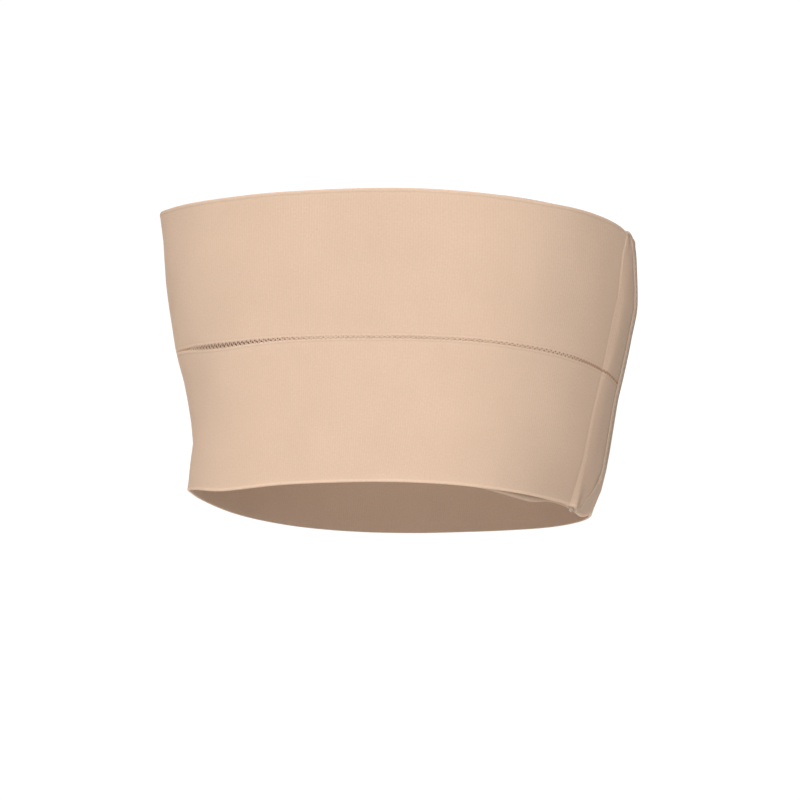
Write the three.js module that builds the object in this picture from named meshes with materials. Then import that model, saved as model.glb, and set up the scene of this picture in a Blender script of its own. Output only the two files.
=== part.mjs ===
import * as THREE from "three";

// Rib belt: two elastic webs joined edge to edge, wrapped round a torso and closed at the right.
// Millimetres, +Z up, the front faces -Y, +X is the viewer's right, the seam lies at z = 0.

// Belt sizes
const BELT_HEIGHT = 160;
const SEAM_GAP = 0.6;
const WEB_THICKNESS = 1.8;
const LAYER_GAP = 0.4;

// Where things lie along the belt, in mm from the right-most point of the seam line, towards the back
const INNER_END = -86;
const OUTER_END = 27;
const LAP_RAMP = 60;
const LAP_CLEAR = 1;

// Closure at the outer end
const HOOK_THICKNESS = 1.2;
const HOOK_EDGE_CLEAR = 1;
const HOOK_END_CLEAR = 8;
const HOOK_TOP_CLEAR = 12;
const HOOK_BOTTOM_CLEAR = 6.5;
const HOOK_CORNER_SHOWS = 1.6;
const HOOK_CORNER_WIDTH = 8;
const RIDGE_RAMP = 4;
const RIDGE_CREST = 0.3;
const RIDGE_CREST_WIDTH = 3;
const TOP_CORNER_RADIUS = 13;
const BOTTOM_CORNER_RADIUS = 24;
const CORNER_BLEND = 44;

// Tape round the outer end
const BINDING_WIDTH = 6.5;
const BINDING_THICKNESS = 0.6;
const BINDING_GAP = 0.3;
const BINDING_STEPS = 44;

// Mesh fineness
const COARSE_STEP = 9;
const LAP_STEP = 4.5;
const RIDGE_STEP = 2.4;
const BAND_ROWS = [0, 0.14, 0.32, 0.48, 0.62, 0.75, 0.87, 0.95, 1];
const HOOK_ROWS = 12;
const HOOK_COLUMNS = 10;
const RING_SAMPLES = 1440;
const SIGHT_ANGLE = 0.01;

// Body side of the belt: reach from the axis at each height
const TORSO_FULLNESS_FRONT = 2.39;
const TORSO_FULLNESS_BACK = 2.6;
const TORSO = [
  { z: -80, left: 109.9, right: 104.2, front: 90.2, back: 90.2 },
  { z: -66, left: 108.5, right: 108.3, front: 91.3, back: 91.3 },
  { z: -56, left: 108.1, right: 111.2, front: 92.1, back: 92.1 },
  { z: -44, left: 107.4, right: 113.6, front: 93.0, back: 93.0 },
  { z: -14, left: 114.2, right: 116.9, front: 95.2, back: 95.2 },
  { z: 6, left: 121.0, right: 119.3, front: 96.8, back: 96.8 },
  { z: 24, left: 125.2, right: 121.8, front: 98.5, back: 98.5 },
  { z: 44, left: 129.7, right: 124.9, front: 100.4, back: 100.4 },
  { z: 80, left: 134.9, right: 122.0, front: 103.8, back: 103.8 },
];

// How far each edge of the belt rises along its length, at turns counted from the right-most point
const EDGE_RISE = [
  { turn: -0.12, top: 0, seam: 0, bottom: 2 },
  { turn: -0.066, top: 0, seam: 0, bottom: -0.9 },
  { turn: -0.04, top: 0, seam: 0, bottom: 2.2 },
  { turn: 0, top: 1, seam: 0, bottom: 3.6 },
  { turn: 0.03, top: 2.5, seam: 1, bottom: 3.2 },
  { turn: 0.06, top: 3.6, seam: 3, bottom: 8.5 },
  { turn: 0.15, top: 5, seam: 5.5, bottom: 10.5 },
  { turn: 0.3, top: 6, seam: 7.2, bottom: 10 },
  { turn: 0.45, top: 6, seam: 8, bottom: 10.4 },
  { turn: 0.54, top: 4.7, seam: 7, bottom: 9.8 },
  { turn: 0.57, top: 3, seam: 5, bottom: 7.9 },
  { turn: 0.6, top: 1, seam: 2.2, bottom: 4 },
  { turn: 0.65, top: 0, seam: -0.7, bottom: -0.3 },
  { turn: 0.72, top: 0.2, seam: -0.2, bottom: 0.2 },
  { turn: 0.9, top: 0.2, seam: -0.6, bottom: 0.9 },
  { turn: 0.95, top: 0.5, seam: -0.6, bottom: 2.2 },
  { turn: 0.985, top: 1.3, seam: -1, bottom: 3.6 },
  { turn: 1.012, top: 1.7, seam: -1.8, bottom: 2.6 },
  { turn: 1.04, top: 1.5, seam: -3.1, bottom: 4.4 },
];

// How far along the belt the ridge over the hook strip's edge lies, at each height
const RIDGE = [
  { z: -80, along: -9 },
  { z: -45, along: -6 },
  { z: -25, along: -3.5 },
  { z: 0, along: 0 },
  { z: 30, along: 0 },
  { z: 50, along: 2 },
  { z: 62, along: 5.5 },
  { z: 80, along: 10 },
];
const RIDGE_FIRST = Math.min(...RIDGE.map((row) => row.along));
const RIDGE_LAST = Math.max(...RIDGE.map((row) => row.along));

const WEB_COLOUR = 0xe5c7af;
const HOOK_COLOUR = 0xe2c8b2;
const BINDING_COLOUR = 0xe8cdb6;
const CLOTH_ROUGHNESS = 0.9;

const HALF_HEIGHT = BELT_HEIGHT / 2;
const TURN = 2 * Math.PI;
const SECOND_LAYER = WEB_THICKNESS + LAYER_GAP;
const OVER_HOOK = HOOK_THICKNESS + LAYER_GAP;
const HOOK_HEIGHT = BELT_HEIGHT - HOOK_TOP_CLEAR - HOOK_BOTTOM_CLEAR;

function smoothStep(value, from, to) {
  const t = Math.min(1, Math.max(0, (value - from) / (to - from)));
  return t * t * (3 - 2 * t);
}

// Smooth value of one column of a table whose rows rise along the key column
function columnAt(rows, key, column, value) {
  const last = rows.length - 1;
  const slopeBetween = (a, b) => (rows[b][column] - rows[a][column]) / (rows[b][key] - rows[a][key]);
  const slopeAt = (i) => slopeBetween(Math.max(0, i - 1), Math.min(last, i + 1));
  if (value <= rows[0][key]) {
    return rows[0][column] + slopeAt(0) * (value - rows[0][key]);
  }
  if (value >= rows[last][key]) {
    return rows[last][column] + slopeAt(last) * (value - rows[last][key]);
  }
  let i = 0;
  while (rows[i + 1][key] < value) {
    i += 1;
  }
  const span = rows[i + 1][key] - rows[i][key];
  const t = (value - rows[i][key]) / span;
  const rise = rows[i + 1][column] - rows[i][column];
  const bend = (1 - t) * (slopeAt(i) * span - rise) + t * (rise - slopeAt(i + 1) * span);
  return rows[i][column] + t * rise + t * (1 - t) * bend;
}

// Point of the torso's outline at one angle and height
function torsoPoint(angle, z) {
  const cosine = Math.cos(angle);
  const sine = Math.sin(angle);
  const sideways = columnAt(TORSO, "z", cosine > 0 ? "right" : "left", z);
  const forward = columnAt(TORSO, "z", sine > 0 ? "back" : "front", z);
  const power = 2 / (sine > 0 ? TORSO_FULLNESS_BACK : TORSO_FULLNESS_FRONT);
  const x = Math.sign(cosine) * Math.abs(cosine) ** power * sideways;
  const y = Math.sign(sine) * Math.abs(sine) ** power * forward;
  return new THREE.Vector3(x, y, z);
}

// Lengths along the seam line, one per sampled angle
const ringLengths = [0];
for (let i = 1; i <= RING_SAMPLES; i += 1) {
  const before = torsoPoint(((i - 1) / RING_SAMPLES) * TURN, 0);
  const here = torsoPoint((i / RING_SAMPLES) * TURN, 0);
  ringLengths.push(ringLengths[i - 1] + here.distanceTo(before));
}
const GIRTH = ringLengths[RING_SAMPLES];

function angleAt(along) {
  const turns = Math.floor(along / GIRTH);
  const rest = along - turns * GIRTH;
  let low = 0;
  let high = RING_SAMPLES;
  while (high - low > 1) {
    const middle = (low + high) >> 1;
    if (ringLengths[middle] <= rest) {
      low = middle;
    } else {
      high = middle;
    }
  }
  const part = (rest - ringLengths[low]) / (ringLengths[high] - ringLengths[low]);
  return (turns + (low + part) / RING_SAMPLES) * TURN;
}

// Point a given distance out from the torso, along the level direction square to it
function pointOff(along, z, offset) {
  const angle = angleAt(along);
  const ahead = torsoPoint(angle + SIGHT_ANGLE, z);
  const behind = torsoPoint(angle - SIGHT_ANGLE, z);
  const outward = new THREE.Vector3(ahead.y - behind.y, behind.x - ahead.x, 0).normalize();
  return torsoPoint(angle, z).addScaledVector(outward, offset);
}

function ridgeAt(z) {
  return columnAt(RIDGE, "z", "along", z);
}

// Distance from the torso to the inner face of the web
function webOffset(along, z) {
  const past = along - GIRTH;
  const ridge = ridgeAt(z);
  const lap = smoothStep(past, INNER_END - LAP_RAMP, INNER_END - LAP_CLEAR) * SECOND_LAYER;
  const step = smoothStep(past, ridge - RIDGE_RAMP, ridge) * OVER_HOOK;
  const crest = RIDGE_CREST * Math.exp(-(((past - ridge) / RIDGE_CREST_WIDTH) ** 2));
  return lap + step + crest;
}

// Where the outer end lies at one height, with its rounded corners, drawn in by an inset
function endAt(z, inset = 0) {
  const corners = [
    { radius: BOTTOM_CORNER_RADIUS, reach: BOTTOM_CORNER_RADIUS - (z + HALF_HEIGHT) },
    { radius: TOP_CORNER_RADIUS, reach: TOP_CORNER_RADIUS - (HALF_HEIGHT - z) },
  ];
  for (const { radius, reach } of corners) {
    const drawn = radius - inset;
    if (reach >= drawn) {
      return OUTER_END - radius - Math.min(inset, HOOK_EDGE_CLEAR);
    }
    if (reach > 0) {
      return OUTER_END - radius + Math.sqrt(drawn ** 2 - reach ** 2);
    }
  }
  return OUTER_END - inset;
}

// Pulls the last stretch of the belt back behind the rounded end
function alongToEnd(along, z) {
  const start = GIRTH + OUTER_END - CORNER_BLEND;
  if (along <= start) {
    return along;
  }
  return start + (along - start) * ((endAt(z) - OUTER_END + CORNER_BLEND) / CORNER_BLEND);
}

// Height of a point whose level runs from -1 at the bottom edge, through the seam, to 1 at the top edge
function heightAt(along, level) {
  const turn = along / GIRTH;
  const seam = columnAt(EDGE_RISE, "turn", "seam", turn);
  const edge = columnAt(EDGE_RISE, "turn", level > 0 ? "top" : "bottom", turn);
  return level * HALF_HEIGHT + seam + Math.abs(level) * (edge - seam);
}

// Stations along the belt, closer where two layers lie together and over the ridge
function beltStations() {
  const stretches = [
    { from: INNER_END, to: OUTER_END + LAP_RAMP, step: LAP_STEP },
    { from: OUTER_END + LAP_RAMP, to: GIRTH + INNER_END - LAP_RAMP, step: COARSE_STEP },
    { from: GIRTH + INNER_END - LAP_RAMP, to: GIRTH + RIDGE_FIRST - RIDGE_RAMP, step: LAP_STEP },
    { from: GIRTH + RIDGE_FIRST - RIDGE_RAMP, to: GIRTH + RIDGE_LAST + RIDGE_RAMP, step: RIDGE_STEP },
    { from: GIRTH + RIDGE_LAST + RIDGE_RAMP, to: GIRTH + OUTER_END, step: LAP_STEP },
  ];
  const stations = [INNER_END];
  for (const { from, to, step } of stretches) {
    const count = Math.ceil((to - from) / step);
    for (let i = 1; i <= count; i += 1) {
      stations.push(from + ((to - from) * i) / count);
    }
  }
  return stations;
}

// Closed wall between an inner and an outer grid of points, columns running along the belt
function wallGeometry(inner, outer) {
  const columns = inner.length;
  const rows = inner[0].length;
  const positions = [];
  const indices = [];
  for (const grid of [inner, outer]) {
    for (const column of grid) {
      for (const point of column) {
        positions.push(point.x, point.y, point.z);
      }
    }
  }
  const shift = columns * rows;
  const inside = (i, j) => i * rows + j;
  const outside = (i, j) => shift + i * rows + j;
  const quad = (a, b, c, d) => indices.push(a, b, c, a, c, d);
  for (let i = 0; i + 1 < columns; i += 1) {
    for (let j = 0; j + 1 < rows; j += 1) {
      quad(outside(i, j), outside(i + 1, j), outside(i + 1, j + 1), outside(i, j + 1));
      quad(inside(i, j), inside(i, j + 1), inside(i + 1, j + 1), inside(i + 1, j));
    }
    quad(inside(i, 0), inside(i + 1, 0), outside(i + 1, 0), outside(i, 0));
    quad(inside(i + 1, rows - 1), inside(i, rows - 1), outside(i, rows - 1), outside(i + 1, rows - 1));
  }
  const last = columns - 1;
  for (let j = 0; j + 1 < rows; j += 1) {
    quad(inside(0, j), outside(0, j), outside(0, j + 1), inside(0, j + 1));
    quad(outside(last, j), inside(last, j), inside(last, j + 1), outside(last, j + 1));
  }
  const geometry = new THREE.BufferGeometry();
  geometry.setAttribute("position", new THREE.Float32BufferAttribute(positions, 3));
  geometry.setIndex(indices);
  geometry.computeVertexNormals();
  return geometry;
}

// One web: side is 1 for the upper band and -1 for the lower band
function bandGeometry(side) {
  const seamLevel = SEAM_GAP / 2 / HALF_HEIGHT;
  const levels = BAND_ROWS.map((part) => side * (seamLevel + part * (1 - seamLevel)));
  if (side < 0) {
    levels.reverse();
  }
  const grid = (extra) =>
    beltStations().map((station) =>
      levels.map((level) => {
        const along = alongToEnd(station, level * HALF_HEIGHT);
        const z = heightAt(along, level);
        return pointOff(along, z, webOffset(along, level * HALF_HEIGHT) + extra);
      })
    );
  return wallGeometry(grid(0), grid(WEB_THICKNESS));
}

function hookGeometry() {
  const grid = (offset) => {
    const columns = [];
    for (let i = 0; i <= HOOK_COLUMNS; i += 1) {
      const column = [];
      for (let j = 0; j <= HOOK_ROWS; j += 1) {
        const flat = HOOK_BOTTOM_CLEAR - HALF_HEIGHT + (HOOK_HEIGHT * j) / HOOK_ROWS;
        const from = ridgeAt(flat) + HOOK_EDGE_CLEAR;
        const to = endAt(flat, HOOK_END_CLEAR);
        const past = from + ((to - from) * i) / HOOK_COLUMNS;
        const corner = j === 0 ? 1 - smoothStep(past - from, 0, HOOK_CORNER_WIDTH) : 0;
        const low = corner * (HOOK_BOTTOM_CLEAR + HOOK_CORNER_SHOWS);
        const z = heightAt(GIRTH + past, flat / HALF_HEIGHT) - low;
        column.push(pointOff(GIRTH + past, z, offset));
      }
      columns.push(column);
    }
    return columns;
  };
  return wallGeometry(grid(SECOND_LAYER), grid(SECOND_LAYER + HOOK_THICKNESS));
}

// Outline of the outer end from the bottom edge to the top edge, with the direction out of the web
function endOutline() {
  const straight = BELT_HEIGHT - BOTTOM_CORNER_RADIUS - TOP_CORNER_RADIUS;
  const bottomArc = (Math.PI / 2) * BOTTOM_CORNER_RADIUS;
  const topArc = (Math.PI / 2) * TOP_CORNER_RADIUS;
  const total = bottomArc + straight + topArc;
  const onCorner = (radius, centreZ, angle) => ({
    past: OUTER_END - radius + radius * Math.cos(angle),
    z: centreZ + radius * Math.sin(angle),
    outPast: Math.cos(angle),
    outZ: Math.sin(angle),
  });
  const outline = [];
  for (let i = 0; i <= BINDING_STEPS; i += 1) {
    const length = (total * i) / BINDING_STEPS;
    const bottomCentre = BOTTOM_CORNER_RADIUS - HALF_HEIGHT;
    if (length < bottomArc) {
      outline.push(onCorner(BOTTOM_CORNER_RADIUS, bottomCentre, length / BOTTOM_CORNER_RADIUS - Math.PI / 2));
    } else if (length <= bottomArc + straight) {
      outline.push({ past: OUTER_END, z: bottomCentre + length - bottomArc, outPast: 1, outZ: 0 });
    } else {
      const turned = (length - bottomArc - straight) / TOP_CORNER_RADIUS;
      outline.push(onCorner(TOP_CORNER_RADIUS, HALF_HEIGHT - TOP_CORNER_RADIUS, turned));
    }
  }
  return outline;
}

function bindingGeometry() {
  const near = BINDING_GAP;
  const far = BINDING_GAP + BINDING_THICKNESS;
  const round = BINDING_THICKNESS / 2;
  const top = WEB_THICKNESS;
  // Section of the folded tape: reach out of the web's end, and height above the web's inner face
  const section = [
    new THREE.Vector2(-BINDING_WIDTH, top + far),
    new THREE.Vector2(-BINDING_WIDTH, top + near),
    new THREE.Vector2(near, top + near),
    new THREE.Vector2(near, -near),
    new THREE.Vector2(-BINDING_WIDTH, -near),
    new THREE.Vector2(-BINDING_WIDTH, -far),
    new THREE.Vector2(far - round, -far),
    new THREE.Vector2(far, round - far),
    new THREE.Vector2(far, top + far - round),
    new THREE.Vector2(far - round, top + far),
  ];
  const count = section.length;
  const outline = endOutline();
  const positions = [];
  const indices = [];
  for (const { past, z, outPast, outZ } of outline) {
    for (const { x: reach, y: height } of section) {
      const along = GIRTH + past + reach * outPast;
      const flat = z + reach * outZ;
      const point = pointOff(along, heightAt(along, flat / HALF_HEIGHT), webOffset(along, flat) + height);
      positions.push(point.x, point.y, point.z);
    }
  }
  for (let i = 0; i + 1 < outline.length; i += 1) {
    for (let j = 0; j < count; j += 1) {
      const a = i * count + j;
      const b = i * count + ((j + 1) % count);
      indices.push(a, b + count, b, a, a + count, b + count);
    }
  }
  const last = (outline.length - 1) * count;
  for (const [a, b, c] of THREE.ShapeUtils.triangulateShape(section, [])) {
    indices.push(a, b, c);
    indices.push(last + a, last + c, last + b);
  }
  const geometry = new THREE.BufferGeometry();
  geometry.setAttribute("position", new THREE.Float32BufferAttribute(positions, 3));
  geometry.setIndex(indices);
  geometry.computeVertexNormals();
  return geometry;
}

function clothMesh(name, geometry, color) {
  const material = new THREE.MeshStandardMaterial({ color, roughness: CLOTH_ROUGHNESS, metalness: 0 });
  const mesh = new THREE.Mesh(geometry, material);
  mesh.name = name;
  return mesh;
}

const belt = new THREE.Group();
belt.name = "rib_belt";
belt.add(clothMesh("upper_band", bandGeometry(1), WEB_COLOUR));
belt.add(clothMesh("lower_band", bandGeometry(-1), WEB_COLOUR));
belt.add(clothMesh("hook_strip", hookGeometry(), HOOK_COLOUR));
belt.add(clothMesh("end_binding", bindingGeometry(), BINDING_COLOUR));

export default belt;
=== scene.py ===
import math

import bpy
import numpy as np
from mathutils import Matrix, Vector


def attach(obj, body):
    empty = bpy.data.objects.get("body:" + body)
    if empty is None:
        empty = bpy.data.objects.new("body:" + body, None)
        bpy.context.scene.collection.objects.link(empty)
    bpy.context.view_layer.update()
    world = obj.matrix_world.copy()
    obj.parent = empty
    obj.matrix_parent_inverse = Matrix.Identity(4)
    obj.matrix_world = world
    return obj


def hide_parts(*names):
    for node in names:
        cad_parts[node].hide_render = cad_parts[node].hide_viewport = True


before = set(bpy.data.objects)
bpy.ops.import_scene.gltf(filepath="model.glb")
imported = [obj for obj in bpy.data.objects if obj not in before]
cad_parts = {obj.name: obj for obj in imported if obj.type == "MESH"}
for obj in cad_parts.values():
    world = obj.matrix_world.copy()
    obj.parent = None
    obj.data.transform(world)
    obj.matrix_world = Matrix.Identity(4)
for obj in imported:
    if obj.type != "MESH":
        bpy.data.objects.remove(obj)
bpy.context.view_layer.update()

# Lengths are in millimetres up to the meshes, which are in metres
MM = 0.001

# Belt sizes, those of the solids with a closer second layer
BELT_HEIGHT = 160.0
SEAM_GAP = 0.6
WEB_THICKNESS = 1.8
LAYER_GAP = 0.35

# Places along the belt, from the right-most point of the seam line towards the back
INNER_END = -86.0
OUTER_END = 27.0
LAP_RAMP = 60.0
LAP_CLEAR = 1.0

# Closure at the outer end, with a thinner hook tape and a rounder lower corner than the solids have
HOOK_THICKNESS = 0.7
HOOK_EDGE_CLEAR = 1.0
HOOK_END_CLEAR = 8.0
HOOK_TOP_CLEAR = 12.0
HOOK_BOTTOM_CLEAR = 6.5
HOOK_CORNER_SHOWS = 1.0
HOOK_CORNER_WIDTH = 7.0
HOOK_CORNER_SHARE = 0.08
HOOK_COLUMNS = 40
HOOK_ROWS = 60
TOP_CORNER_RADIUS = 13.0
BOTTOM_CORNER_RADIUS = 27.0
CORNER_BLEND = 44.0

# Body side of the belt: reach from the axis at each height
TORSO_FULLNESS_FRONT = 2.39
TORSO_FULLNESS_BACK = 2.6
TORSO = {
    "z": [-80, -66, -56, -44, -14, 6, 24, 44, 72, 80],
    "left": [109.9, 108.5, 108.1, 107.4, 114.2, 121.0, 125.2, 129.7, 133.7, 135.5],
    "right": [104.8, 108.5, 112.1, 114.2, 117.5, 119.9, 122.4, 125.5, 123.4, 122.6],
    "depth": [90.2, 91.3, 92.1, 93.0, 95.2, 96.8, 98.5, 100.4, 103.0, 103.8],
}

# How far each edge rises along the belt, at turns counted from the right-most point
EDGE_RISE = {
    "turn": [
        -0.12, -0.066, -0.04, 0, 0.03, 0.06, 0.15, 0.3, 0.45, 0.54,
        0.57, 0.6, 0.65, 0.72, 0.8, 0.9, 0.95, 0.985, 1.012, 1.04,
    ],
    "top": [0, 0, 0, 1, 2.5, 3.6, 5, 6.3, 6.4, 5.6, 4.4, 1.8, 0.1, 0.2, 0.5, -0.8, 0.4, 1.3, 1.7, 1.5],
    "seam": [0, 0, 0, 0, 1, 3, 5.5, 7.2, 8, 7, 5.2, 2.6, -0.6, -0.2, -0.4, -0.6, -0.6, -1, -1.8, -3.1],
    "bottom": [
        2, -0.9, 2.2, 3.6, 3.2, 8.5, 10.5, 10, 10.4, 9.8,
        7.9, 4.6, -0.4, 0.3, 1.2, 1.3, 2.2, 3.6, 2.6, 4.4,
    ],
}

# Slight unevenness of the worn cloth: waves round the belt, their lean with height and their start
WANDER = {
    "size": [0.16, 0.12, 0.08],
    "waves": [5, 9, 17],
    "lean": [0.031, -0.043, 0.07],
    "start": [0.4, 1.9, 3.1],
}

# Ridge over the hook tape's edge at each height: its place along the belt, width, rise and crest,
# and the painted shade on the cloth beyond it
RIDGE = {
    "z": [-80, -72, -62, -45, -25, -10, 8, 22, 38, 50, 62, 72, 80],
    "along": [-6.5, -7, -7.8, -8.6, -7.2, -5, -3.6, -3.2, -2.8, -1.6, 2, 8, 14],
    "width": [5, 5, 4.5, 3.8, 3.6, 3.8, 7, 9, 7, 3, 2, 2, 2],
    "rise": [1.5, 1.2, 0.7, 0.5, 0.4, 0.4, 1.2, 1.4, 1.0, 0.5, 0.4, 0.4, 0.4],
    "crest": [1.0, 0.8, 0.3, 0.1, 0.1, 0.1, 0.4, 0.5, 0.3, 0.1, 0.1, 0.1, 0.1],
    "painted_shading": [0.94, 0.94, 0.93, 0.88, 0.85, 0.85, 0.85, 0.85, 0.85, 0.85, 0.85, 0.85, 0.85],
}
RIDGE_HOME = 0.0
RIDGE_LEAD = 3.2
RIDGE_SPREAD = 34.0
RIDGE_END_CLEAR = 3.0
RIDGE_CREST_WIDTH = 1.5
RIDGE_GROOVE = 0.22
RIDGE_GROOVE_WIDTH = 1.1
END_FALL = 0.9
END_FALL_REACH = 18.0
# Reach over which the painted shade past the ridge comes in
END_SHADE_REACH = 14.0

# Half the opening between the webs along the seam, how deep the outside thread lies in it,
# and how strong the painted shade line beside the seam is
SEAM_OPEN = {
    "turn": [
        -0.12, 0.5, 0.55, 0.575, 0.6, 0.612, 0.622, 0.65,
        0.68, 0.71, 0.75, 0.8, 0.86, 0.91, 0.95, 0.98, 1.04,
    ],
    "half": [0.3, 0.3, 0.3, 0.35, 0.45, 0.65, 0.85, 0.95, 0.5, 0.16, 0.0, 0.0, 0.02, 0.06, 0.1, 0.12, 0.12],
    "sunk": [0, 0, 0.2, 1.4, 1.5, 0.7, 0, 0, 0, 0, 0, 0, 0, 0.1, 0.35, 0.8, 0.9],
    "line": [0.2, 0.2, 0.2, 0, 0, 0, 0, 0, 0, 0.12, 0.14, 0.2, 0.26, 0.52, 0.78, 0.66, 0.54],
}
SEAM_CLOSED = -0.1
SEAM_DARK_FADE = (0.05, 0.65)
SEAM_SHUT_FADE = (0.0, 0.3)
SEAM_FILL = 0.66
SEAM_LINE_WIDTH = 0.7
SEAM_WAVE = 0.6
SEAM_WAVE_REACH = 1.5

# Woven relief of the webs: ribs across them and a firmer edge, with a painted shade line beside each edge
# and a painted highlight on its rim
RIB_PITCH = 1.4
RIB_HEIGHT = 0.05
COLUMNS_PER_RIB = 4
EDGE_ROUND = 0.36
# For each woven edge: depth of its groove, strength of the painted shade line along it, and the painted
# highlight on its rim
SELVEDGE = {
    "top": {"groove": 0.1, "painted_line_shade": 0.12, "rim": 1.04},
    "above_seam": {"groove": 0.04, "painted_line_shade": 0.06, "rim": 1.07},
    "below_seam": {"groove": 0.06, "painted_line_shade": 0.11, "rim": 1.09},
    "bottom": {"groove": 0.02, "painted_line_shade": 0.0, "rim": 1.22},
}
SELVEDGE_LINE = 2.1
SELVEDGE_LINE_WIDTH = 0.35
RIM_HIGHLIGHT_FADE = (0.9, 1.7)
SELVEDGE_PLAIN = (1.4, 5.4)
# Painted shade on the whole inside face of the webs
INSIDE_SHADE = 0.8
# Painted shade on the outside of the inner end where it lies under the outer end, fading in over this span
# along the belt
COVERED_SHADE = 0.74
COVERED_FADE = (-20.0, 20.0)
OUTER_EDGE_STEPS = [0, 0.12, 0.5, 1.3, 1.75, 2.1, 2.45, 3.0, 3.8, 4.6, 5.4]
OUTER_MIDDLE_STEPS = [16, 28, 40, 52, 64]
INNER_EDGE_STEPS = [0.12, 0.5, 4.0]
INNER_MIDDLE_STEPS = [28, 52]

# Seam thread and stitches, with lifts and dives in thread radii
ZIGZAG_PITCH = 2.9
ZIGZAG_BITE = 0.9
ZIGZAG_BLUNT = 1.15
THREAD_CLEAR = 2.0
THREAD_STEPS_PER_LEG = 5
THREAD_LIFT = 0.9
THREAD_DIVE = 1.6
THREAD_DIVE_POWER = 6
THREAD_RADIUS = 0.33
INSIDE_THREAD_RADIUS = 0.15
THREAD_FLATNESS = 0.6
THREAD_SIDES = 6
STITCH_RADIUS = 0.15
STITCH_LENGTH = 2.4
STITCH_GAP = 0.7
STITCH_INSET = 4.6
STITCH_FIRST = 0.2
STITCH_LIFT = 0.4
STITCH_DIVE = 1.6
STITCH_DIVE_POWER = 4
STITCH_POINTS = 7
STITCH_OUTLINE_STEPS = 721

# Tape folded round the outer end: its raised inner edge has heights in tape thicknesses above the web
TAPE_WIDTH = 7.0
TAPE_THICKNESS = 0.6
TAPE_SINK = 0.08
TAPE_EDGE = {"from_edge": [0.15, 0.6, 1.4, 2.6], "height": [0.45, 0.95, 1.12, 1.0]}
TAPE_FOLD_START = 1.5
TAPE_FOLD_EXTRA = 0.3
TAPE_FOLD_STEPS = 11
TAPE_STEPS = 241
TAPE_START = 0.2
TAPE_TAPERS = (16.0, 11.0)
# Painted shade on the tape's outer leaf away from its raised edge, painted light on it at the lower corner,
# and the painted shadow that the tape casts on the web beside it
TAPE_BODY_SHADE = 0.78
TAPE_CORNER_LIGHT = 1.06
TAPE_CORNER_FADE = (24.0, 56.0)
TAPE_SHADOW = 0.2
TAPE_SHADOW_WIDTH = 2.6
TAPE_EDGE_FADE = (1.2, 2.8)

# Camera found from the photo's outline: pixels of an 800 by 800 frame, millimetres and degrees
FRAME_PIXELS = 800
FOCAL_PIXELS = 6972.5
SENSOR_MM = 36.0
CAMERA_DISTANCE = 3850.5
CAMERA_ELEVATION = -11.87
CAMERA_AZIMUTH = 22.31
CAMERA_ROLL = 3.66
CAMERA_TARGET = (2.3, 0.0, -13.64)

# Floor and light, with places and sizes in metres
FLOOR_LEVEL = -1.15
FLOOR_SPAN = 12.0
FLOOR_ROUGHNESS = 0.9
ROOM_TINT = (1, 0.99, 0.98, 1)
ROOM_DIM = 0.24
ROOM_BRIGHT = 1.82
BRIGHT_AZIMUTH = 8.0
BRIGHT_ELEVATION = 15.0
BRIGHT_FADE = (0.3, 0.9)
BACKDROP_TINT = (1, 1, 1, 1)
BACKDROP_STRENGTH = 1.05
BACK_PLACE = (-1.14, 2.78, 0.35)
BACK_SIZE = 2.2
BACK_POWER = 34.0

# Colours
WEB_TINT = (0.80, 0.585, 0.435, 1)
# Darker tint of the painted shade in the rib troughs
RIB_TROUGH_SHADE = (0.66, 0.465, 0.335, 1)
# Dark brown of the painted shade in the seam's groove and along its line
SEAM_SHADE_TINT = (0.40, 0.20, 0.105, 1)
THREAD_TINT = (0.83, 0.64, 0.50, 1)
TAPE_TINT = (0.75, 0.565, 0.43, 1)
HOOK_TINT = (0.93, 0.76, 0.61, 1)
FLOOR_TINT = (0.86, 0.86, 0.86, 1)
THREAD_SHADE = 0.82
TAPE_SHADE = 0.86
HOOK_SHADE = 0.86
RIB_SHADE = 0.22

# Fine grain of the materials: pitches and bump depths in millimetres, scales in cells a metre
WEFT_PITCH = 0.62
WEFT_SHARE = 0.5
WEB_BUMP = 0.03
CLOUD_SCALE = 28.0
CLOUD_DETAIL = 3.0
CLOUD_TONES = (0.97, 1.025)
FLECK_SCALE = 900.0
FLECK_TONES = (0.955, 1.045)
NOISE_RANGE = (0.25, 0.75)
TWIST_SCALE = 2500.0
TWIST_RANGE = (0.3, 0.7)
THREAD_BUMP = 0.05
TAPE_RIB_PITCH = 0.8
TAPE_RIB_RANGE = (-1.0, 2.0)
TAPE_FLECK_SCALE = 600.0
TAPE_BUMP = 0.04
HOOK_CELL_SCALE = 800.0
HOOK_CELL_RANGE = (0.1, 0.7)
HOOK_BUMP = 0.15
CLOTH_SPECULAR = 0.15
SHEEN_ROUGHNESS = 0.45
SHEEN_TINT = (1.0, 0.93, 0.86, 1)

HALF_HEIGHT = BELT_HEIGHT / 2
CORNER_RADII = BOTTOM_CORNER_RADIUS + TOP_CORNER_RADIUS
TAPE_LENGTH = BELT_HEIGHT - CORNER_RADII + math.pi / 2 * CORNER_RADII
SECOND_LAYER = WEB_THICKNESS + LAYER_GAP
THREAD_START = INNER_END + THREAD_CLEAR
RING_SAMPLES = 1440
SIGHT_ANGLE = 0.01


def smooth_step(value, start, end):
    t = np.clip((value - start) / (end - start), 0, 1)
    return t * t * (3 - 2 * t)


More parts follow.
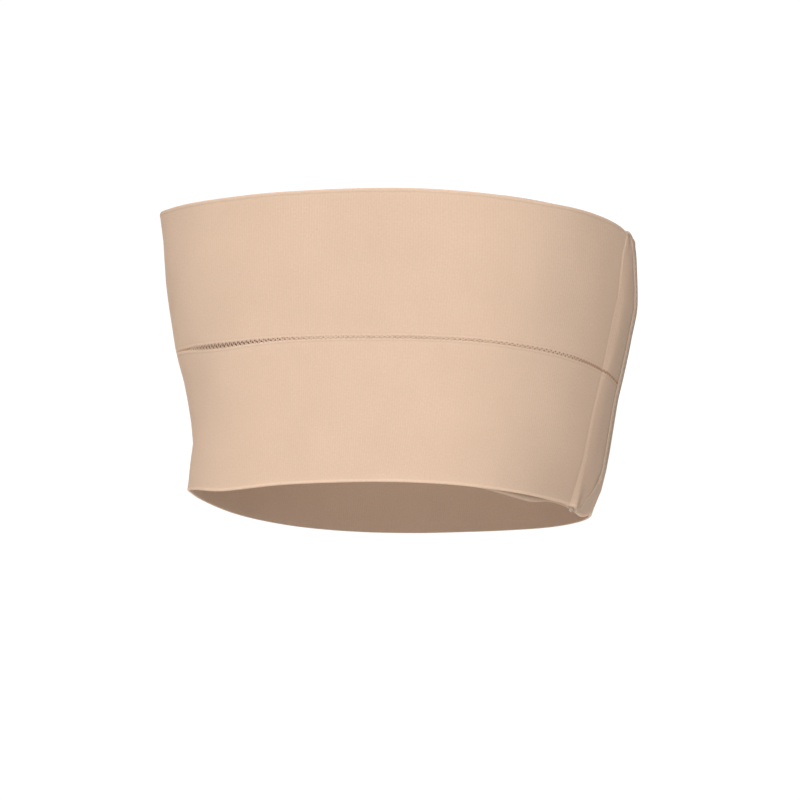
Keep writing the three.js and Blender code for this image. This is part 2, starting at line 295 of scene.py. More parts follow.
def column_at(table, key, column, value):
    """Smooth value of one column of a table whose rows rise along the key column."""
    keys = np.array(table[key], float)
    values = np.array(table[column], float)
    last = len(keys) - 1
    index = np.arange(last + 1)
    before = np.maximum(index - 1, 0)
    after = np.minimum(index + 1, last)
    slopes = (values[after] - values[before]) / (keys[after] - keys[before])
    value = np.asarray(value, float)
    i = np.clip(np.searchsorted(keys, value, side="left") - 1, 0, last - 1)
    span = keys[i + 1] - keys[i]
    t = (value - keys[i]) / span
    rise = values[i + 1] - values[i]
    bend = (1 - t) * (slopes[i] * span - rise) + t * (rise - slopes[i + 1] * span)
    inside = values[i] + t * rise + t * (1 - t) * bend
    low = values[0] + slopes[0] * (value - keys[0])
    high = values[-1] + slopes[-1] * (value - keys[-1])
    return np.where(value <= keys[0], low, np.where(value >= keys[-1], high, inside))


def torso_plan(angle, z):
    """Plan point of the torso's outline at an angle and a height."""
    cosine, sine = np.cos(angle), np.sin(angle)
    side = np.where(cosine > 0, column_at(TORSO, "z", "right", z), column_at(TORSO, "z", "left", z))
    depth = column_at(TORSO, "z", "depth", z)
    power = 2 / np.where(sine > 0, TORSO_FULLNESS_BACK, TORSO_FULLNESS_FRONT)
    x = np.sign(cosine) * np.abs(cosine) ** power * side
    y = np.sign(sine) * np.abs(sine) ** power * depth
    return x, y


ring_turns = np.linspace(0, 1, RING_SAMPLES + 1)
ring_x, ring_y = torso_plan(ring_turns * 2 * math.pi, np.zeros(RING_SAMPLES + 1))
ring_lengths = np.concatenate([[0], np.cumsum(np.hypot(np.diff(ring_x), np.diff(ring_y)))])
GIRTH = ring_lengths[-1]


def angle_at(along):
    turns = np.floor(along / GIRTH)
    part = np.interp(along - turns * GIRTH, ring_lengths, ring_turns)
    return (turns + part) * 2 * math.pi


def point_off(along, z, offset):
    """Points a distance out from the torso, along the level direction square to it."""
    angle = angle_at(along)
    ahead_x, ahead_y = torso_plan(angle + SIGHT_ANGLE, z)
    behind_x, behind_y = torso_plan(angle - SIGHT_ANGLE, z)
    out_x, out_y = ahead_y - behind_y, behind_x - ahead_x
    size = np.hypot(out_x, out_y)
    x, y = torso_plan(angle, z)
    return np.stack([x + out_x / size * offset, y + out_y / size * offset, z + 0 * x], axis=-1)


def end_at(z, inset=0.0):
    """Where the outer end lies at a height, with its rounded corners, drawn in by an inset."""
    z = np.asarray(z, float)
    end = np.full(z.shape, OUTER_END - inset)
    corners = (
        (BOTTOM_CORNER_RADIUS, BOTTOM_CORNER_RADIUS - (z + HALF_HEIGHT)),
        (TOP_CORNER_RADIUS, TOP_CORNER_RADIUS - (HALF_HEIGHT - z)),
    )
    for radius, reach in corners:
        drawn = radius - inset
        curved = OUTER_END - radius + np.sqrt(np.maximum(drawn**2 - reach**2, 0))
        end = np.where(reach > 0, curved, end)
        end = np.where(reach >= drawn, OUTER_END - radius - min(inset, HOOK_EDGE_CLEAR), end)
    return end


def ridge_at(z):
    """Where the top of the ridge lies at a height, kept behind the rounded end."""
    return np.minimum(column_at(RIDGE, "z", "along", z), end_at(z) - RIDGE_END_CLEAR)


def web_offset(along, z):
    """Distance from the torso to the inner face of the web."""
    past = along - GIRTH
    end = end_at(z)
    rise = past - ridge_at(z) + RIDGE_LEAD
    width = column_at(RIDGE, "z", "width", z)
    beyond = (rise - width) / (width / 2 + RIDGE_CREST_WIDTH)
    lap = smooth_step(past, INNER_END - LAP_RAMP, INNER_END - LAP_CLEAR) * SECOND_LAYER
    step = smooth_step(rise, 0, width) * column_at(RIDGE, "z", "rise", z)
    crest = column_at(RIDGE, "z", "crest", z) * np.exp(-(beyond**2))
    groove = RIDGE_GROOVE * np.exp(-((rise / RIDGE_GROOVE_WIDTH) ** 2))
    fall = END_FALL * smooth_step(past, end - END_FALL_REACH, end)
    return lap + step + crest - groove - fall


def cloth_along(station, z):
    """Place along the belt of a column of the cloth, which follows the ridge and the rounded end."""
    pull_start = GIRTH + OUTER_END - CORNER_BLEND
    pull = (end_at(z) - OUTER_END + CORNER_BLEND) / CORNER_BLEND
    pulled = np.where(station <= pull_start, station, pull_start + (station - pull_start) * pull)
    home = GIRTH + RIDGE_HOME
    pulled_home = pull_start + (home - pull_start) * pull
    before = smooth_step(station, home - RIDGE_SPREAD, home)
    after = smooth_step(station, home, GIRTH + OUTER_END)
    return pulled + before * (1 - after) * (GIRTH + ridge_at(z) - pulled_home)


def height_at(along, level):
    """Height at a level from -1 at the bottom edge, through the seam, to 1 at the top edge."""
    turn = along / GIRTH
    seam = column_at(EDGE_RISE, "turn", "seam", turn)
    top = column_at(EDGE_RISE, "turn", "top", turn)
    bottom = column_at(EDGE_RISE, "turn", "bottom", turn)
    edge = np.where(level > 0, top, bottom)
    return level * HALF_HEIGHT + seam + np.abs(level) * (edge - seam)


def wander(along, z):
    """Slight unevenness of the worn cloth, the same for both layers."""
    turn = along / GIRTH * 2 * math.pi
    return sum(
        size * np.sin(waves * turn + lean * z + start)
        for size, waves, lean, start in zip(*WANDER.values())
    )


def seam_half(along):
    return column_at(SEAM_OPEN, "turn", "half", along / GIRTH)


def zigzag(along):
    """Where the seam thread runs: 1 at its turns in the upper web and -1 at those in the lower web."""
    leg = (along - THREAD_START) / (ZIGZAG_PITCH / 2)
    return 1 - 2 * np.abs(leg % 2 - 1)


def turn_outwards(points, faces):
    """Reverses the faces if the body they close is inside out."""
    volume = 0.0
    for corners in {len(face) for face in faces}:
        group = np.array([face for face in faces if len(face) == corners])
        first = points[group[:, 0]]
        for k in range(1, corners - 1):
            volume += (first * np.cross(points[group[:, k]], points[group[:, k + 1]])).sum()
    return faces if volume > 0 else [face[::-1] for face in faces]


def mesh_object(name, points, faces):
    """Smooth closed object from points in millimetres, with its faces turned outwards."""
    mesh = bpy.data.meshes.new(name)
    mesh.from_pydata((points * MM).tolist(), [], turn_outwards(points, faces))
    mesh.validate()
    mesh.update()
    mesh.polygons.foreach_set("use_smooth", [True] * len(mesh.polygons))
    obj = bpy.data.objects.new(name, mesh)
    bpy.context.scene.collection.objects.link(obj)
    return obj


def tube_faces(rings, sides, first=0):
    """Faces of a closed tube of rings, listed ring by ring, with its two end faces."""
    i = np.arange(rings - 1)[:, None] * sides
    j = np.arange(sides)[None, :]
    after = (j + 1) % sides
    quads = np.stack([i + j, i + after, i + sides + after, i + sides + j], axis=-1)
    faces = (quads.reshape(-1, 4) + first).tolist()
    faces.append((first + np.arange(sides)[::-1]).tolist())
    faces.append((first + (rings - 1) * sides + np.arange(sides)).tolist())
    return faces


def add_attribute(obj, name, values):
    attribute = obj.data.attributes.new(name, "FLOAT", "POINT")
    attribute.data.foreach_set("value", np.asarray(values, np.float32).ravel())


def add_weave_map(obj, along, height):
    """UV map in metres of cloth: along the belt and up it."""
    layer = obj.data.uv_layers.new(name="weave")
    corners = np.empty(len(obj.data.loops), np.int32)
    obj.data.loops.foreach_get("vertex_index", corners)
    pairs = np.stack([np.ravel(along)[corners], np.ravel(height)[corners]], axis=-1) * MM
    layer.data.foreach_set("uv", pairs.astype(np.float32).ravel())


def web_section():
    """Distances from the seam edge round a web's section, and the side of the web that each is on."""
    width = HALF_HEIGHT - SEAM_GAP / 2
    outer = OUTER_EDGE_STEPS + OUTER_MIDDLE_STEPS + [width - d for d in reversed(OUTER_EDGE_STEPS)]
    inner = INNER_EDGE_STEPS + INNER_MIDDLE_STEPS + [width - d for d in reversed(INNER_EDGE_STEPS)]
    distances = np.array(outer + inner[::-1])
    sides = np.array([1] * len(outer) + [-1] * len(inner))
    return distances, sides, width


def woven_edge(band, at_seam):
    """Groove, painted shade line and painted highlight rim of the woven edge that each point of a web's
    section is nearer to.
    """
    near_edge = SELVEDGE["above_seam" if band > 0 else "below_seam"]
    far_edge = SELVEDGE["top" if band > 0 else "bottom"]
    return (np.where(at_seam, near_edge[key], far_edge[key]) for key in ("groove", "painted_line_shade", "rim"))


def end_shade(along, flat):
    """Painted shade on the outer end's cloth: darker past the ridge, and a painted shadow beside the tape.
    """
    past_ridge = smooth_step(along - GIRTH - ridge_at(flat), 0, END_SHADE_REACH)
    to_tape = (end_at(flat, TAPE_WIDTH) - along + GIRTH) / TAPE_SHADOW_WIDTH
    beyond = 1 - (1 - column_at(RIDGE, "z", "painted_shading", flat)) * past_ridge
    return beyond * (1 - TAPE_SHADOW * np.exp(-(to_tape**2)))


def seam_shade(station, distances, outside, half_open):
    """How far the cloth takes on the seam's painted shade colour, in the open groove and along the closed
    line.
    """
    in_groove = distances <= np.where(outside, 0, INNER_EDGE_STEPS[0])
    groove = in_groove * smooth_step(half_open, *SEAM_DARK_FADE)
    line = column_at(SEAM_OPEN, "turn", "line", station / GIRTH)
    line = np.maximum(line * np.exp(-((distances / SEAM_LINE_WIDTH) ** 2)), 0)
    return np.maximum(groove, np.where(outside, line, 0))


def make_web(name, band):
    """One elastic web: band is 1 for the upper one and -1 for the lower one."""
    distances, sides, width = web_section()
    outside = sides > 0
    step = RIB_PITCH / COLUMNS_PER_RIB
    count = int(round((GIRTH + OUTER_END - INNER_END) / step)) + 1
    station = np.linspace(INNER_END, GIRTH + OUTER_END, count)[:, None]

    # Place of each point on the flat cloth and along the belt
    half_open = seam_half(station)
    opening = np.where(outside, half_open, np.minimum(half_open, SEAM_CLOSED))
    flat = band * (opening + distances / width * (HALF_HEIGHT - opening))
    flat = flat - SEAM_WAVE * zigzag(station) * (1 - smooth_step(distances, 0, SEAM_WAVE_REACH))
    along = cloth_along(station + 0 * flat, flat)
    z = height_at(along, flat / HALF_HEIGHT)

    # Relief of the cloth: rounded edges, filled where the seam is shut, the woven edge's groove and the ribs
    from_edge = np.minimum(distances, width - distances)
    at_seam = distances < width / 2
    rounded = np.sqrt(1 - (1 - np.minimum(from_edge / EDGE_ROUND, 1)) ** 2)
    shut = np.where(at_seam & outside, 1 - smooth_step(half_open, *SEAM_SHUT_FADE), 0)
    rounded = rounded + (1 - rounded) * SEAM_FILL * shut
    groove, painted_line_shade, rim = woven_edge(band, at_seam)
    line = np.exp(-(((from_edge - SELVEDGE_LINE) / SELVEDGE_LINE_WIDTH) ** 2))
    rib = np.cos(station / RIB_PITCH * 2 * math.pi)
    rib_share = smooth_step(from_edge, *SELVEDGE_PLAIN)
    half = WEB_THICKNESS / 2
    face_height = half * rounded - groove * line + RIB_HEIGHT * rib * rib_share
    offset = web_offset(along, flat) + half + sides * face_height + wander(along, flat)
    points = point_off(along, z, offset)

    # Painted light and shade in the cloth's colour: the woven edges' lines and rims, the inside face, the
    # covered part of the inner end, and the end past the ridge and beside the tape
    # Painted shade along the line beside each woven edge, and a painted highlight on the edge's rim
    painted_shading = 1 - painted_line_shade * line + (rim - 1) * (1 - smooth_step(from_edge, *RIM_HIGHLIGHT_FADE))
    # The inside face takes a flat painted shade
    painted_shading = np.where(outside, painted_shading, INSIDE_SHADE)
    # Painted shade under the outer end, on the covered part of the inner end
    covered = np.where(outside, 1 - smooth_step(along, *COVERED_FADE), 0)
    painted_shading = painted_shading * end_shade(along, flat) * (1 - (1 - COVERED_SHADE) * covered)

    web = mesh_object(name, points.reshape(-1, 3), tube_faces(*points.shape[:2]))
    add_attribute(web, "rib", (0.5 + 0.5 * rib) * rib_share + (1 - rib_share))
    add_attribute(web, "painted_shading", painted_shading)
    add_attribute(web, "seam_painted_shade", seam_shade(station, distances, outside, half_open))
    add_weave_map(web, station + 0 * along, flat)
    return web


def thread_object(name, paths, radius, flatness=1.0):
    """Threads along lists of points, one closed tube a path, flattened against the cloth."""
    points, faces = [], []
    turns = np.arange(THREAD_SIDES) * 2 * math.pi / THREAD_SIDES
    first = 0
    for path in paths:
        ahead = np.gradient(path, axis=0)
        ahead /= np.linalg.norm(ahead, axis=1)[:, None]
        outward = path * [1, 1, 0]
        outward = outward - (outward * ahead).sum(1)[:, None] * ahead
        outward /= np.linalg.norm(outward, axis=1)[:, None]
        across = np.cross(ahead, outward)
        up = np.cos(turns)[:, None] * flatness * outward[:, None]
        ring = up + np.sin(turns)[:, None] * across[:, None]
        points.append((path[:, None] + radius * ring).reshape(-1, 3))
        faces += tube_faces(len(path), THREAD_SIDES, first)
        first += len(path) * THREAD_SIDES
    return mesh_object(name, np.concatenate(points), faces)


def make_seam_thread(name, side, radius):
    """Zigzag thread over the seam: side is 1 on the outside and -1 on the inside."""
    end = GIRTH + OUTER_END - TAPE_WIDTH / 2
    legs = int((end - THREAD_START) / (ZIGZAG_PITCH / 2))
    leg = np.arange(legs * THREAD_STEPS_PER_LEG + 1) / THREAD_STEPS_PER_LEG
    along = THREAD_START + leg * ZIGZAG_PITCH / 2
    saw = zigzag(along)
    flat = np.clip(saw * ZIGZAG_BLUNT, -1, 1) * (seam_half(along) + ZIGZAG_BITE)
    dive = THREAD_DIVE * np.abs(saw) ** THREAD_DIVE_POWER
    middle = web_offset(along, flat) + WEB_THICKNESS / 2 + wander(along, flat)
    sunk = np.maximum(column_at(SEAM_OPEN, "turn", "sunk", along / GIRTH), 0)
    lift = WEB_THICKNESS / 2 + radius * THREAD_FLATNESS * (THREAD_LIFT - dive) - sunk
    path = point_off(along, height_at(along, flat / HALF_HEIGHT), middle + side * lift)
    return thread_object(name, [path], radius, THREAD_FLATNESS)


def make_hook_tape(name):
    """Hook tape between the layers, with one lower corner that shows."""
    share = np.linspace(0, 1, HOOK_COLUMNS)[:, None]
    up = np.linspace(0, 1, HOOK_ROWS)[None, :]
    tape_height = BELT_HEIGHT - HOOK_TOP_CLEAR - HOOK_BOTTOM_CLEAR
    flat = HOOK_BOTTOM_CLEAR - HALF_HEIGHT + up * tape_height + 0 * share
    start = ridge_at(flat) - RIDGE_LEAD + column_at(RIDGE, "z", "width", flat) + HOOK_EDGE_CLEAR
    end = end_at(flat, HOOK_END_CLEAR)
    past = start + (end - start) * share
    corner = 1 - smooth_step(past - start, HOOK_CORNER_WIDTH / 2, HOOK_CORNER_WIDTH)
    corner = corner * (1 - smooth_step(up, 0, HOOK_CORNER_SHARE))
    z = height_at(GIRTH + past, flat / HALF_HEIGHT) - corner * (HOOK_BOTTOM_CLEAR + HOOK_CORNER_SHOWS)
    half = HOOK_THICKNESS / 2
    middle = SECOND_LAYER + half + wander(GIRTH + past, flat)
    outer = point_off(GIRTH + past, z, middle + half).reshape(-1, 3)
    inner = point_off(GIRTH + past, z, middle - half).reshape(-1, 3)
    shift = HOOK_COLUMNS * HOOK_ROWS
    index = np.arange(shift).reshape(HOOK_COLUMNS, HOOK_ROWS)
    corners = [index[:-1, :-1], index[1:, :-1], index[1:, 1:], index[:-1, 1:]]
    quads = np.stack(corners, axis=-1).reshape(-1, 4)
    border = np.concatenate([index[:, 0], index[-1, 1:], index[-2::-1, -1], index[0, -2:0:-1]])
    after = np.roll(border, -1)
    rim = np.stack([border, after, after + shift, border + shift], axis=-1)
    faces = np.concatenate([quads + shift, quads[:, ::-1], rim]).tolist()
    return mesh_object(name, np.concatenate([inner, outer]), faces)


def end_outline(steps):
    """Outline of the outer end from the bottom edge to the top edge, with the direction out of the web."""
    straight = BELT_HEIGHT - CORNER_RADII
    bottom_arc = math.pi / 2 * BOTTOM_CORNER_RADIUS
    length = np.linspace(0, TAPE_LENGTH, steps)
    turned_bottom = np.minimum(length / BOTTOM_CORNER_RADIUS, math.pi / 2) - math.pi / 2
    turned_top = np.clip((length - bottom_arc - straight) / TOP_CORNER_RADIUS, 0, math.pi / 2)
    run = np.clip(length - bottom_arc, 0, straight)
    low_past = OUTER_END - BOTTOM_CORNER_RADIUS * (1 - np.cos(turned_bottom))
    low_z = BOTTOM_CORNER_RADIUS * (1 + np.sin(turned_bottom)) - HALF_HEIGHT
    past = low_past - TOP_CORNER_RADIUS * (1 - np.cos(turned_top))
    z = low_z + run + TOP_CORNER_RADIUS * np.sin(turned_top)
    turned = np.where(turned_top > 0, turned_top, turned_bottom)
    return length, past, z, np.cos(turned), np.sin(turned)


def end_point(past, z, out_past, out_z, reach, height):
    """Point beside the outer end: reach out of the web, and height above the web's inner face."""
    along = GIRTH + past + reach * out_past
    flat = z + reach * out_z
    offset = web_offset(along, flat) + height + wander(along, flat)
    return point_off(along, height_at(along, flat / HALF_HEIGHT), offset)


def tape_share(length):
    """Share of the tape's width, which runs out where the tape meets the bottom and top edges."""
    from_bottom = smooth_step(length, 0, TAPE_TAPERS[0])
    from_top = smooth_step(TAPE_LENGTH - length, 0, TAPE_TAPERS[1])
    return TAPE_START + (1 - TAPE_START) * from_bottom * from_top


def make_end_tape(name):
    """Folded tape round the outer end, with a soft raised inner edge."""
    top, thick = WEB_THICKNESS, TAPE_THICKNESS
    outer_leaf = [(-TAPE_WIDTH, top - TAPE_SINK)]
    for from_edge, height in zip(TAPE_EDGE["from_edge"], TAPE_EDGE["height"]):
        outer_leaf.append((-TAPE_WIDTH + from_edge, top + height * thick))
    outer_leaf.append((-TAPE_FOLD_START, top + thick))
    turn = np.linspace(math.pi / 2, -math.pi / 2, TAPE_FOLD_STEPS)
    fold_reach = (thick + TAPE_FOLD_EXTRA) * np.cos(turn)
    fold = list(zip(fold_reach, top / 2 + (top / 2 + thick) * np.sin(turn)))
    inner_leaf = [(reach, top - height) for reach, height in reversed(outer_leaf)]
    inside = [(-TAPE_WIDTH, top / 2)]
    section = np.array(outer_leaf + fold + inner_leaf + inside)
    reach, height = section[:, 0], section[:, 1]
    length, *outline = (values[:, None] for values in end_outline(TAPE_STEPS))
    reach = np.where(reach < 0, reach * tape_share(length), reach)
    points = end_point(*outline, reach, height)
    tape = mesh_object(name, points.reshape(-1, 3), tube_faces(*points.shape[:2]))
    # Painted shade on the tape's leaf away from its raised edge, turning to painted light at the lower
    # corner
    body = smooth_step(reach + TAPE_WIDTH * tape_share(length), *TAPE_EDGE_FADE)
    above_corner = smooth_step(length, *TAPE_CORNER_FADE)
    tape_shading = TAPE_CORNER_LIGHT + (TAPE_BODY_SHADE - TAPE_CORNER_LIGHT) * above_corner
    add_attribute(tape, "painted_shading", 1 + (tape_shading - 1) * body)
    add_weave_map(tape, length + 0 * reach, reach)
    return tape


def make_end_stitches(name):
    """Row of stitches that holds the tape, on its outer leaf."""
    length, *outline = end_outline(STITCH_OUTLINE_STEPS)
    count = int(length[-1] / (STITCH_LENGTH + STITCH_GAP))
    paths = []
    for i in range(count):
        start = (i + STITCH_FIRST) * length[-1] / count
        place = np.linspace(start, start + STITCH_LENGTH, STITCH_POINTS)
        dive = STITCH_DIVE * np.linspace(-1, 1, STITCH_POINTS) ** STITCH_DIVE_POWER
        here = [np.interp(place, length, values) for values in outline]
        height = WEB_THICKNESS + TAPE_THICKNESS + STITCH_RADIUS * (STITCH_LIFT - dive)
        paths.append(end_point(*here, -STITCH_INSET * tape_share(place), height))
    return thread_object(name, paths, STITCH_RADIUS)


class Graph:
    """Small helper for building a node tree."""

    def __init__(self, name):
        self.material = bpy.data.materials.new(name)
        self.material.use_nodes = True
        self.tree = self.material.node_tree
        self.shader = self.tree.nodes["Principled BSDF"]

    def node(self, kind, **settings):
        node = self.tree.nodes.new(kind)
        for key, value in settings.items():
            setattr(node, key, value)
        return node

    def put(self, socket, value):
        if hasattr(value, "is_output"):
            self.tree.links.new(value, socket)
        else:
            socket.default_value = value

    def math(self, operation, a, b=0.0):
        node = self.node("ShaderNodeMath", operation=operation)
        self.put(node.inputs[0], a)
        self.put(node.inputs[1], b)
        return node.outputs[0]

    def ramp(self, value, low, high, out_low, out_high):
        node = self.node("ShaderNodeMapRange")
        for socket, given in zip(node.inputs, (value, low, high, out_low, out_high)):
            self.put(socket, given)
        return node.outputs[0]

    def mix(self, factor, a, b):
        node = self.node("ShaderNodeMix", data_type="RGBA")
        self.put(node.inputs[0], factor)
        self.put(node.inputs[6], a)
        self.put(node.inputs[7], b)
        return node.outputs[2]

    def times(self, colour, factor):
        """Colour made lighter or darker by a factor."""
        node = self.node("ShaderNodeVectorMath", operation="SCALE")
        self.put(node.inputs[0], colour)
        self.put(node.inputs["Scale"], factor)
        return node.outputs[0]

    def noise(self, place, scale, detail=2.0):
        node = self.node("ShaderNodeTexNoise")
        self.put(node.inputs["Vector"], place)
        self.put(node.inputs["Scale"], scale)
        self.put(node.inputs["Detail"], detail)
        return node.outputs[0]

    def attribute(self, name):
        return self.node("ShaderNodeAttribute", attribute_name=name).outputs["Fac"]

    def weave(self):
        """Weave map: the place as a vector, along the cloth and up it."""
        place = self.node("ShaderNodeUVMap", uv_map="weave").outputs[0]
        parts = self.node("ShaderNodeSeparateXYZ")
        self.put(parts.inputs[0], place)
        return place, parts.outputs[0], parts.outputs[1]

    def bump(self, height, distance):
        node = self.node("ShaderNodeBump")
        node.inputs["Strength"].default_value = 1.0
        node.inputs["Distance"].default_value = distance
        self.put(node.inputs["Height"], height)
        self.put(self.shader.inputs["Normal"], node.outputs[0])

    def choose(self, factor, a, b):
        node = self.node("ShaderNodeMixShader")
        for socket, given in zip(node.inputs, (factor, a, b)):
            self.put(socket, given)
        return node.outputs[0]

    def cloth(self, colour, roughness, sheen):
        self.put(self.shader.inputs["Base Color"], colour)
        self.shader.inputs["Roughness"].default_value = roughness
        self.shader.inputs["Specular IOR Level"].default_value = CLOTH_SPECULAR
        self.shader.inputs["Sheen Weight"].default_value = sheen
        self.shader.inputs["Sheen Roughness"].default_value = SHEEN_ROUGHNESS
        self.shader.inputs["Sheen Tint"].default_value = SHEEN_TINT


def darker(tint, share):
    return tuple(share * part for part in tint[:3]) + (1,)


def web_material():
    """Elastic web: upright ribs crossed by fine filling threads."""
    graph = Graph("web_cloth")
    place, along, up = graph.weave()
    rib = graph.attribute("rib")
    cloud = graph.noise(place, CLOUD_SCALE, CLOUD_DETAIL)
    fleck = graph.noise(place, FLECK_SCALE)
    # Filling threads cross the ribs, offset by half a step from one rib to the next
    rib_number = graph.math("FLOOR", graph.math("MULTIPLY", along, 1 / (RIB_PITCH * MM)))
    odd = graph.math("MULTIPLY", graph.math("MODULO", rib_number, 2.0), math.pi)
    crossing = graph.math("ADD", graph.math("MULTIPLY", up, 2 * math.pi / (WEFT_PITCH * MM)), odd)
    weft = graph.math("SINE", crossing)
    # Painted shade in the rib troughs: the colour goes toward the darker tint where the ribs dip
    colour = graph.mix(graph.ramp(rib, 0.0, 1.0, RIB_SHADE, 0.0), WEB_TINT, RIB_TROUGH_SHADE)
    uneven = graph.math(
        "MULTIPLY",
        graph.ramp(cloud, *NOISE_RANGE, *CLOUD_TONES),
        graph.ramp(fleck, *NOISE_RANGE, *FLECK_TONES),
    )
    # Painted light and shade from the mesh, times the cloth's uneven tone
    colour = graph.times(colour, graph.math("MULTIPLY", graph.attribute("painted_shading"), uneven))
    # Painted shade in the seam's open groove and along the closed seam
    colour = graph.mix(graph.attribute("seam_painted_shade"), colour, SEAM_SHADE_TINT)
    graph.cloth(colour, roughness=0.9, sheen=0.03)
    graph.bump(graph.math("ADD", graph.math("MULTIPLY", weft, WEFT_SHARE), fleck), WEB_BUMP * MM)
    return graph.material


def thread_material():
    """Twisted sewing thread."""
    graph = Graph("sewing_thread")
    place = graph.node("ShaderNodeTexCoord").outputs["Object"]
    twist = graph.noise(place, TWIST_SCALE)
    share = graph.ramp(twist, *TWIST_RANGE, 0.0, 1.0)
    colour = graph.mix(share, darker(THREAD_TINT, THREAD_SHADE), THREAD_TINT)
    graph.cloth(colour, roughness=0.7, sheen=0.1)
    graph.bump(twist, THREAD_BUMP * MM)
    return graph.material


def tape_material():
    """Woven tape with fine ribs across it."""
    graph = Graph("end_tape")
    place, along, _ = graph.weave()
    ribs = graph.math("SINE", graph.math("MULTIPLY", along, 2 * math.pi / (TAPE_RIB_PITCH * MM)))
    uneven = graph.math("ADD", ribs, graph.noise(place, TAPE_FLECK_SCALE))
    share = graph.ramp(uneven, *TAPE_RIB_RANGE, 0.0, 1.0)
    colour = graph.mix(share, darker(TAPE_TINT, TAPE_SHADE), TAPE_TINT)
    # Painted shade and light of the tape, from its mesh
    graph.cloth(graph.times(colour, graph.attribute("painted_shading")), roughness=0.85, sheen=0.03)
    graph.bump(ribs, TAPE_BUMP * MM)
    return graph.material


def hook_material():
    """Hook tape: rows of fine moulded hooks."""
    graph = Graph("hook_tape")
    cells = graph.node("ShaderNodeTexVoronoi")
    graph.put(cells.inputs["Vector"], graph.node("ShaderNodeTexCoord").outputs["Object"])
    graph.put(cells.inputs["Scale"], HOOK_CELL_SCALE)
    share = graph.ramp(cells.outputs["Distance"], *HOOK_CELL_RANGE, 1.0, 0.0)
    colour = graph.mix(share, darker(HOOK_TINT, HOOK_SHADE), HOOK_TINT)
    graph.cloth(colour, roughness=0.6, sheen=0.05)
    graph.bump(share, HOOK_BUMP * MM)
    return graph.material


def floor_material():
    """Pale floor, seen from above only."""
    graph = Graph("pale_floor")
    graph.put(graph.shader.inputs["Base Color"], FLOOR_TINT)
    graph.put(graph.shader.inputs["Roughness"], FLOOR_ROUGHNESS)
    glow = graph.node("ShaderNodeEmission")
    graph.put(glow.inputs["Color"], FLOOR_TINT)
    clear = graph.node("ShaderNodeBsdfTransparent")
    seen = graph.choose(
        graph.node("ShaderNodeLightPath").outputs["Is Camera Ray"], graph.shader.outputs[0], glow.outputs[0]
    )
    sided = graph.choose(graph.node("ShaderNodeNewGeometry").outputs["Backfacing"], seen, clear.outputs[0])
    graph.put(graph.tree.nodes["Material Output"].inputs[0], sided)
    return graph.material


def dress(obj, material, slot, *nodes):
    """Gives a piece its material and body, and hides the solids that it stands for; the slot is not used."""
    obj.data.materials.append(material)
    if nodes:
        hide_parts(*nodes)
    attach(obj, "root")
    return obj


web_cloth = web_material()
thread = thread_material()
upper_web = dress(make_web("upper_web", 1), web_cloth, "web", "upper_band")
lower_web = dress(make_web("lower_web", -1), web_cloth, "web", "lower_band")
seam_outside = dress(make_seam_thread("seam_thread_outside", 1, THREAD_RADIUS), thread, "web")
seam_inside = dress(make_seam_thread("seam_thread_inside", -1, INSIDE_THREAD_RADIUS), thread, "web")
hook_tape = dress(make_hook_tape("hook_tape"), hook_material(), "hook", "hook_strip")
end_tape = dress(make_end_tape("end_tape"), tape_material(), "binding", "end_binding")
end_stitches = dress(make_end_stitches("end_stitches"), thread, "binding")

# Floor
floor_mesh = bpy.data.meshes.new("floor")
floor_signs = [(-1, -1), (1, -1), (1, 1), (-1, 1)]
floor_corners = [(x * FLOOR_SPAN, y * FLOOR_SPAN, FLOOR_LEVEL) for x, y in floor_signs]
floor_mesh.from_pydata(floor_corners, [], [(0, 1, 2, 3)])
floor_mesh.materials.append(floor_material())
floor = bpy.data.objects.new("floor", floor_mesh)
bpy.context.scene.collection.objects.link(floor)

# Light: a white room, brighter in front than behind, which the camera sees as plain white
scene = bpy.context.scene
world = bpy.data.worlds.new("white_room")
scene.world = world
world.use_nodes = True
tree = world.node_tree
tree.nodes.clear()
bright_azimuth, bright_elevation = math.radians(BRIGHT_AZIMUTH), math.radians(BRIGHT_ELEVATION)
towards = tree.nodes.new("ShaderNodeVectorMath")
towards.operation = "DOT_PRODUCT"
towards.inputs[1].default_value = (
    math.cos(bright_elevation) * math.sin(bright_azimuth),
    -math.cos(bright_elevation) * math.cos(bright_azimuth),
    math.sin(bright_elevation),
)
strength = tree.nodes.new("ShaderNodeMapRange")
strength.interpolation_type = "SMOOTHSTEP"
for socket, given in zip(strength.inputs[1:], (*BRIGHT_FADE, ROOM_DIM, ROOM_BRIGHT)):
    socket.default_value = given
lit = tree.nodes.new("ShaderNodeBackground")
lit.inputs["Color"].default_value = ROOM_TINT
seen = tree.nodes.new("ShaderNodeBackground")
seen.inputs["Color"].default_value = BACKDROP_TINT
seen.inputs["Strength"].default_value = BACKDROP_STRENGTH
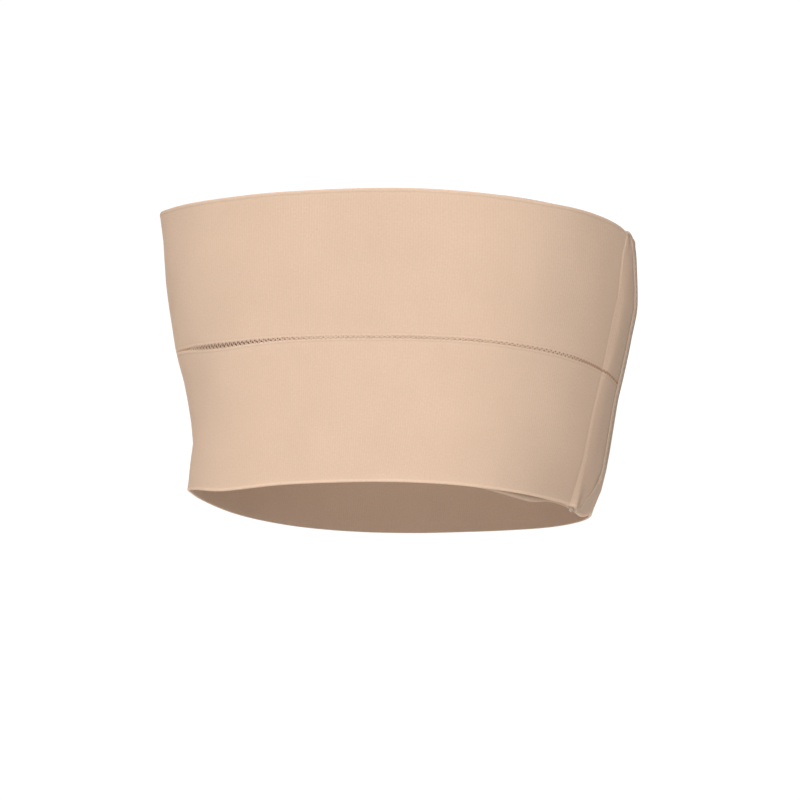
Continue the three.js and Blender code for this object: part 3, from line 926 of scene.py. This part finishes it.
choice = tree.nodes.new("ShaderNodeMixShader")
out = tree.nodes.new("ShaderNodeOutputWorld")
tree.links.new(tree.nodes.new("ShaderNodeTexCoord").outputs["Generated"], towards.inputs[0])
tree.links.new(towards.outputs["Value"], strength.inputs[0])
tree.links.new(strength.outputs[0], lit.inputs["Strength"])
tree.links.new(tree.nodes.new("ShaderNodeLightPath").outputs["Is Camera Ray"], choice.inputs[0])
tree.links.new(lit.outputs[0], choice.inputs[1])
tree.links.new(seen.outputs[0], choice.inputs[2])
tree.links.new(choice.outputs[0], out.inputs[0])


def area_light(name, place, size, power):
    """Square soft light that looks at the belt."""
    data = bpy.data.lights.new(name, "AREA")
    data.shape = "SQUARE"
    data.size = size
    data.energy = power
    lamp = bpy.data.objects.new(name, data)
    lamp.location = place
    lamp.rotation_mode = "QUATERNION"
    lamp.rotation_quaternion = (-Vector(place)).to_track_quat("-Z", "Y")
    scene.collection.objects.link(lamp)


area_light("back_light", BACK_PLACE, BACK_SIZE, BACK_POWER)

# Camera
azimuth = math.radians(CAMERA_AZIMUTH)
elevation = math.radians(CAMERA_ELEVATION)
roll = math.radians(CAMERA_ROLL)
level_right = Vector((math.cos(azimuth), math.sin(azimuth), 0))
level_back = Vector((math.sin(azimuth), -math.cos(azimuth), 0))
back = level_back * math.cos(elevation) + Vector((0, 0, math.sin(elevation)))
level_up = level_right.cross(-back)
right = math.cos(roll) * level_right + math.sin(roll) * level_up
up = math.cos(roll) * level_up - math.sin(roll) * level_right
camera_data = bpy.data.cameras.new("camera")
camera_data.sensor_width = SENSOR_MM
camera_data.lens = FOCAL_PIXELS / FRAME_PIXELS * SENSOR_MM
camera = bpy.data.objects.new("camera", camera_data)
camera_place = (Vector(CAMERA_TARGET) + back * CAMERA_DISTANCE) * MM
camera.matrix_world = Matrix.Translation(camera_place) @ Matrix((right, up, back)).transposed().to_4x4()
scene.collection.objects.link(camera)
scene.camera = camera
scene.view_settings.view_transform = "Standard"
scene.view_settings.look = "None"
